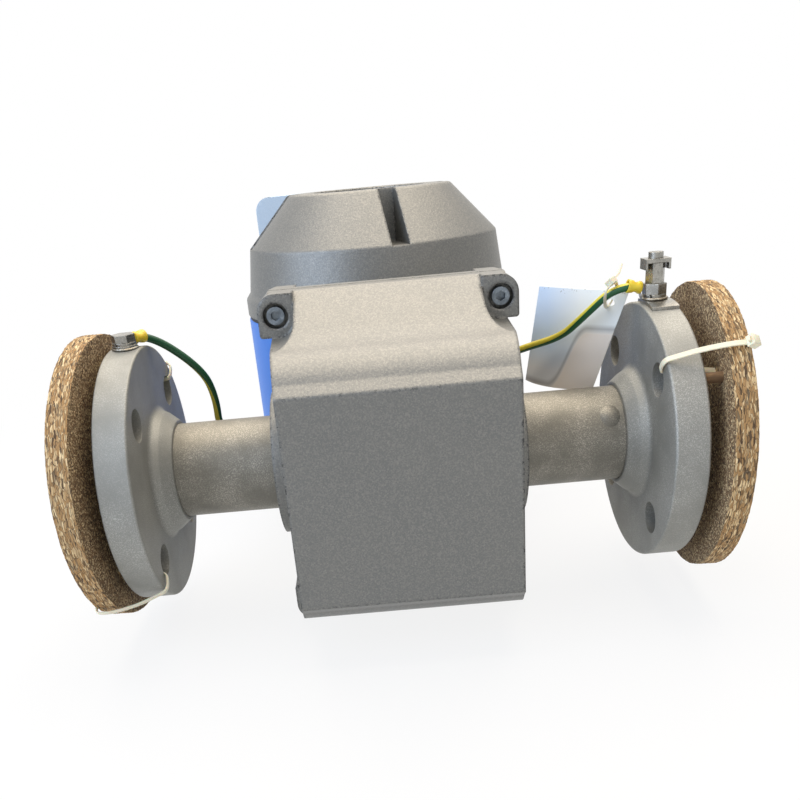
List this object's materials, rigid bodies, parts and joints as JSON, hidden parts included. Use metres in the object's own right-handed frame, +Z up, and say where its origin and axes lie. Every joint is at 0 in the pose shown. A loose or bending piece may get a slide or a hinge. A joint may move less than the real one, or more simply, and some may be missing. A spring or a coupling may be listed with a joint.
{
  "type": "electromagnetic flow meter",
  "caption": "Flanged electromagnetic flow meter: short pipe in a cast sensor body, round transmitter with a coned front cap, terminal box, earth wires and chipboard flange discs.",
  "frame": {"origin": "centre of the inlet flange's bolting face", "axes": "+X along the pipe from inlet to outlet; +Y from the sensor's flat face through the neck to the transmitter; +Z up as the meter lies, through the earth bolts and the front cap"},
  "size_m": [0.3208, 0.3607, 0.2105],
  "materials": {
    "silver_paint": "fine metallic satin paint",
    "blue_paint": "satin paint",
    "blasted_steel": "matte blasted steel",
    "pipe_steel": "matte pickled steel",
    "bright_steel": "bright stainless fittings",
    "dark_steel": "dark screw heads",
    "liner": "white fluoropolymer",
    "seal": "black rubber",
    "glass": "clear",
    "copper": "wound enamelled wire",
    "board": "circuit board",
    "black_plastic": "moulded plastic",
    "grey_plastic": "moulded plastic",
    "screen": "display glass",
    "yellow_sleeve": "yellow crimp sleeve",
    "wire_insulation": "green and yellow insulation",
    "chipboard": "raw chipboard",
    "peg_wood": "raw wood",
    "tag_film": "thin film"
  },
  "bodies": {
    "meter": {"measuring_tube": "pipe_steel", "tube_liner": "liner", "flange_outlet": "blasted_steel", "flange_inlet": "blasted_steel", "shell_front": "silver_paint", "shell_back": "silver_paint", "shell_gasket": "seal", "shell_screws": "dark_steel", "tube_seals": "seal", "pole_shoes": "dark_steel", "coil_front": "copper", "coil_back": "copper", "magnet_yoke": "dark_steel", "electrodes": "bright_steel", "neck_screws": "dark_steel", "transmitter_housing": "blue_paint", "neck_seal": "seal", "front_cap_seal": "seal", "rear_cap_seal": "seal", "electronics_carrier": "grey_plastic", "main_board": "board", "display_module": "black_plastic", "display_screen": "screen", "terminal_block": "black_plastic", "gland_lower_body": "black_plastic", "gland_lower_seal": "seal", "gland_upper_body": "black_plastic", "gland_upper_seal": "seal", "terminal_box": "silver_paint", "terminal_box_lid": "silver_paint", "lid_seal": "seal", "lid_screws": "dark_steel", "earth_lug_inlet": "yellow_sleeve", "earth_washer_inlet": "bright_steel", "spring_washer_inlet": "bright_steel", "earth_bolt_inlet": "bright_steel", "earth_lug_shell_inlet": "yellow_sleeve", "earth_screw_shell_inlet": "bright_steel", "earth_wire_inlet": "wire_insulation", "terminal_plate": "bright_steel", "earth_lug_outlet": "yellow_sleeve", "spring_washer_outlet": "bright_steel", "terminal_nut": "bright_steel", "terminal_post": "bright_steel", "terminal_clamp": "bright_steel", "terminal_screw": "bright_steel", "earth_lug_shell_outlet": "yellow_sleeve", "earth_screw_shell_outlet": "bright_steel", "earth_wire_outlet": "wire_insulation", "disc_inlet": "chipboard", "disc_peg": "peg_wood", "disc_outlet": "chipboard", "hang_tag": "tag_film"},
    "front_cover": {"front_cap": "silver_paint", "window_seal": "seal", "window_glass": "glass", "window_ring": "black_plastic"},
    "rear_cover": {"rear_cap": "silver_paint"},
    "lower_gland_nut": {"gland_lower_nut": "black_plastic"},
    "upper_gland_nut": {"gland_upper_nut": "black_plastic"}
  },
  "joints": [
    {"name": "front_cover_turn", "type": "hinge", "parent": "meter", "child": "front_cover", "pos_m": [0.1357, 0.163, 0], "axis": [0, 0, 1], "continuous": true},
    {"name": "rear_cover_turn", "type": "hinge", "parent": "meter", "child": "rear_cover", "pos_m": [0.1357, 0.163, 0], "axis": [0, 0, 1], "continuous": true},
    {"name": "lower_gland_nut_turn", "type": "hinge", "parent": "meter", "child": "lower_gland_nut", "pos_m": [0.2, 0.267, -0.002], "axis": [1, 0, 0], "continuous": true},
    {"name": "upper_gland_nut_turn", "type": "hinge", "parent": "meter", "child": "upper_gland_nut", "pos_m": [0.2, 0.267, 0.042], "axis": [1, 0, 0], "continuous": true}
  ]
}
